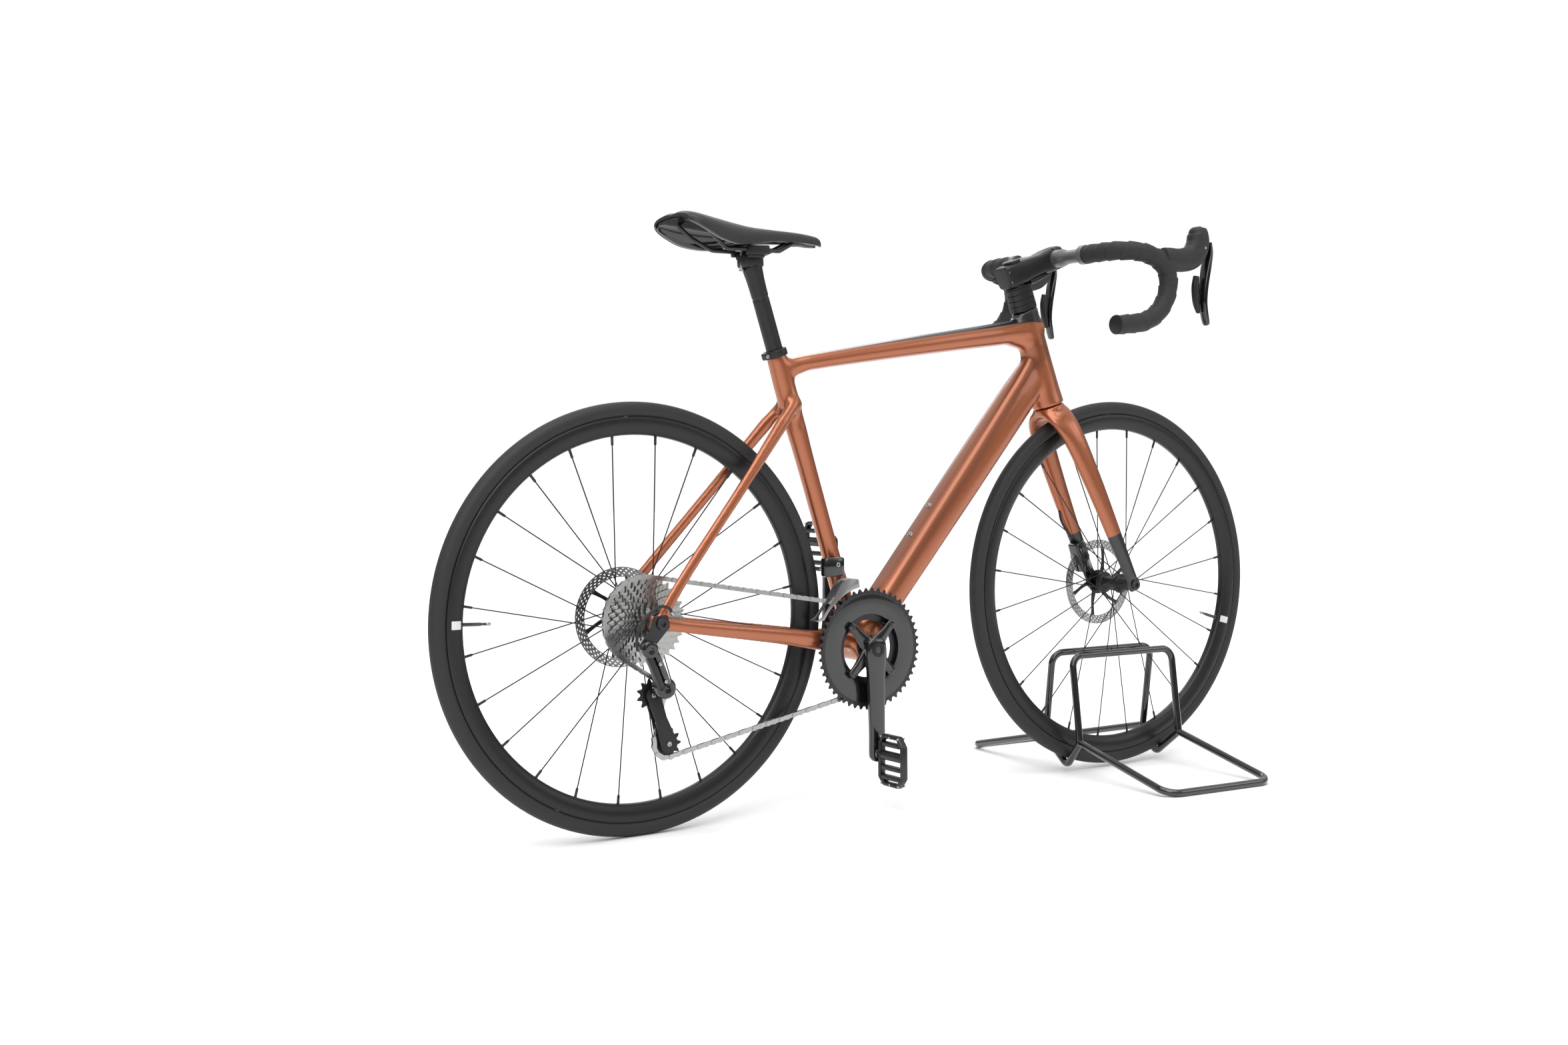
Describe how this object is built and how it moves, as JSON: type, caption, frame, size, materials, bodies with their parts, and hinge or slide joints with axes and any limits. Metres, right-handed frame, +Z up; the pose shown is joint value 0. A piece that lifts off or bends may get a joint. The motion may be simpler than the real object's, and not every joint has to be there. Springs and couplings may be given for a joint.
{
  "type": "road bicycle on a display stand",
  "caption": "Drop-bar road bicycle with disc brakes, its front wheel held upright in a low stand bent from round tube.",
  "frame": {"origin": "floor level, midway between the wheels, in the bicycle's middle plane", "axes": "+X forwards, +Y to the rider's left, +Z up"},
  "size_m": [1.682, 0.617, 0.9881],
  "materials": {
    "copper_paint": "satin metallic copper",
    "satin_black": "satin",
    "gloss_black": "gloss",
    "tyre_rubber": "matte, fine tread",
    "soft_rubber": "matte",
    "bar_tape": "matte wrapped tape",
    "silver": "bright",
    "steel": "brushed",
    "dark_metal": "satin anodised",
    "stand_paint": "gloss black"
  },
  "bodies": {
    "frame": {"head_tube": "copper_paint", "top_tube": "copper_paint", "down_tube": "copper_paint", "seat_tube": "copper_paint", "bottom_bracket_shell": "copper_paint", "chainstay_right": "copper_paint", "chainstay_left": "copper_paint", "seatstay_right": "copper_paint", "seatstay_left": "copper_paint", "derailleur_hanger": "dark_metal", "seatpost_collar": "satin_black", "bottle_bolt_lower": "silver", "bottle_bolt_upper": "silver", "rear_thru_axle": "dark_metal", "rear_brake_caliper": "gloss_black", "rear_derailleur": "gloss_black", "front_derailleur": "gloss_black", "gear_housing": "soft_rubber", "chain": "silver"},
    "seatpost": {"seatpost": "satin_black", "saddle_clamp": "gloss_black", "saddle_rails": "dark_metal", "saddle_base": "satin_black", "saddle_cover": "soft_rubber"},
    "rear_wheel": {"rear_tyre": "tyre_rubber", "rear_rim": "satin_black", "rear_spoked_hub": "satin_black", "rear_brake_rotor": "steel"},
    "cassette": {"cassette": "silver"},
    "crank": {"crank_arm_right": "gloss_black", "crank_arm_left": "gloss_black", "chainring_outer": "dark_metal", "chainring_inner": "dark_metal"},
    "pedal_right": {"pedal_right": "dark_metal"},
    "pedal_left": {"pedal_left": "dark_metal"},
    "derailleur_cage": {"derailleur_cage": "satin_black"},
    "guide_pulley": {"guide_pulley": "satin_black"},
    "tension_pulley": {"tension_pulley": "satin_black"},
    "front_derailleur_cage": {"front_derailleur_cage": "silver"},
    "fork": {"fork": "copper_paint", "front_thru_axle": "dark_metal", "front_brake_caliper": "gloss_black", "front_brake_hose": "soft_rubber", "headset_spacers": "satin_black", "stem": "satin_black", "stem_faceplate": "satin_black", "handlebar": "satin_black", "bar_tape_right": "bar_tape", "bar_tape_left": "bar_tape", "lever_hood_right": "soft_rubber", "lever_hood_left": "soft_rubber"},
    "brake_lever_right": {"brake_lever_right": "gloss_black"},
    "brake_lever_left": {"brake_lever_left": "gloss_black"},
    "shift_paddle_right": {"shift_paddle_right": "gloss_black"},
    "shift_paddle_left": {"shift_paddle_left": "gloss_black"},
    "front_wheel": {"front_tyre": "tyre_rubber", "front_rim": "satin_black", "front_spoked_hub": "satin_black", "front_brake_rotor": "steel"},
    "stand": {"stand": "stand_paint"}
  },
  "joints": [
    {"name": "steering", "type": "hinge", "parent": "frame", "child": "fork", "pos_m": [0.4593, 0, 0.3308], "axis": [-0.3156, 0, 0.9489], "range_deg": [-60, 60]},
    {"name": "front_wheel_spin", "type": "hinge", "parent": "fork", "child": "front_wheel", "pos_m": [0.502, 0, 0.345], "axis": [0, 1, 0], "continuous": true},
    {"name": "stand_lift_off", "type": "slide", "parent": "fork", "child": "stand", "axis": [0, 0, -1], "range_m": [0, 0.35]},
    {"name": "rear_wheel_spin", "type": "hinge", "parent": "frame", "child": "rear_wheel", "pos_m": [-0.502, 0, 0.339], "axis": [0, 1, 0], "continuous": true},
    {"name": "cassette_spin", "type": "hinge", "parent": "frame", "child": "cassette", "pos_m": [-0.502, 0, 0.339], "axis": [0, 1, 0], "continuous": true},
    {"name": "crank_spin", "type": "hinge", "parent": "frame", "child": "crank", "pos_m": [-0.092, 0, 0.268], "axis": [0, 1, 0], "continuous": true},
    {"name": "pedal_right_spin", "type": "hinge", "parent": "crank", "child": "pedal_right", "pos_m": [-0.092, -0.0675, 0.0955], "axis": [0, 1, 0], "continuous": true},
    {"name": "pedal_left_spin", "type": "hinge", "parent": "crank", "child": "pedal_left", "pos_m": [-0.092, 0.067, 0.4405], "axis": [0, 1, 0], "continuous": true},
    {"name": "derailleur_cage_swing", "type": "hinge", "parent": "frame", "child": "derailleur_cage", "pos_m": [-0.483, -0.025, 0.236], "axis": [0, 1, 0], "range_deg": [-10, 25], "stiffness_Nm_per_rad": 4, "deforming": ["chain"]},
    {"name": "guide_pulley_spin", "type": "hinge", "parent": "derailleur_cage", "child": "guide_pulley", "pos_m": [-0.492, -0.025, 0.2235], "axis": [0, 1, 0], "continuous": true},
    {"name": "tension_pulley_spin", "type": "hinge", "parent": "derailleur_cage", "child": "tension_pulley", "pos_m": [-0.466, -0.025, 0.1445], "axis": [0, 1, 0], "continuous": true},
    {"name": "front_derailleur_shift", "type": "slide", "parent": "frame", "child": "front_derailleur_cage", "axis": [0, -1, 0], "range_m": [0, 0.004]},
    {"name": "seatpost_height", "type": "slide", "parent": "frame", "child": "seatpost", "axis": [-0.2991, 0, 0.9542], "range_m": [-0.09, 0.04]},
    {"name": "brake_lever_right_pull", "type": "hinge", "parent": "fork", "child": "brake_lever_right", "pos_m": [0.512, -0.206, 0.9385], "axis": [0, 1, 0], "range_deg": [0, 12], "stiffness_Nm_per_rad": 0.8},
    {"name": "shift_paddle_right_push", "type": "hinge", "parent": "brake_lever_right", "child": "shift_paddle_right", "pos_m": [0.514, -0.202, 0.903], "axis": [1, 0, 0], "range_deg": [0, 12], "stiffness_Nm_per_rad": 0.2},
    {"name": "brake_lever_left_pull", "type": "hinge", "parent": "fork", "child": "brake_lever_left", "pos_m": [0.512, 0.206, 0.9385], "axis": [0, 1, 0], "range_deg": [0, 12], "stiffness_Nm_per_rad": 0.8},
    {"name": "shift_paddle_left_push", "type": "hinge", "parent": "brake_lever_left", "child": "shift_paddle_left", "pos_m": [0.514, 0.202, 0.903], "axis": [-1, 0, 0], "range_deg": [0, 12], "stiffness_Nm_per_rad": 0.2}
  ],
  "couplings": [
    {"joint": "cassette_spin", "follows": "crank_spin", "ratio": 1},
    {"joint": "guide_pulley_spin", "follows": "crank_spin", "ratio": -3.0909},
    {"joint": "tension_pulley_spin", "follows": "crank_spin", "ratio": 3.0909}
  ]
}
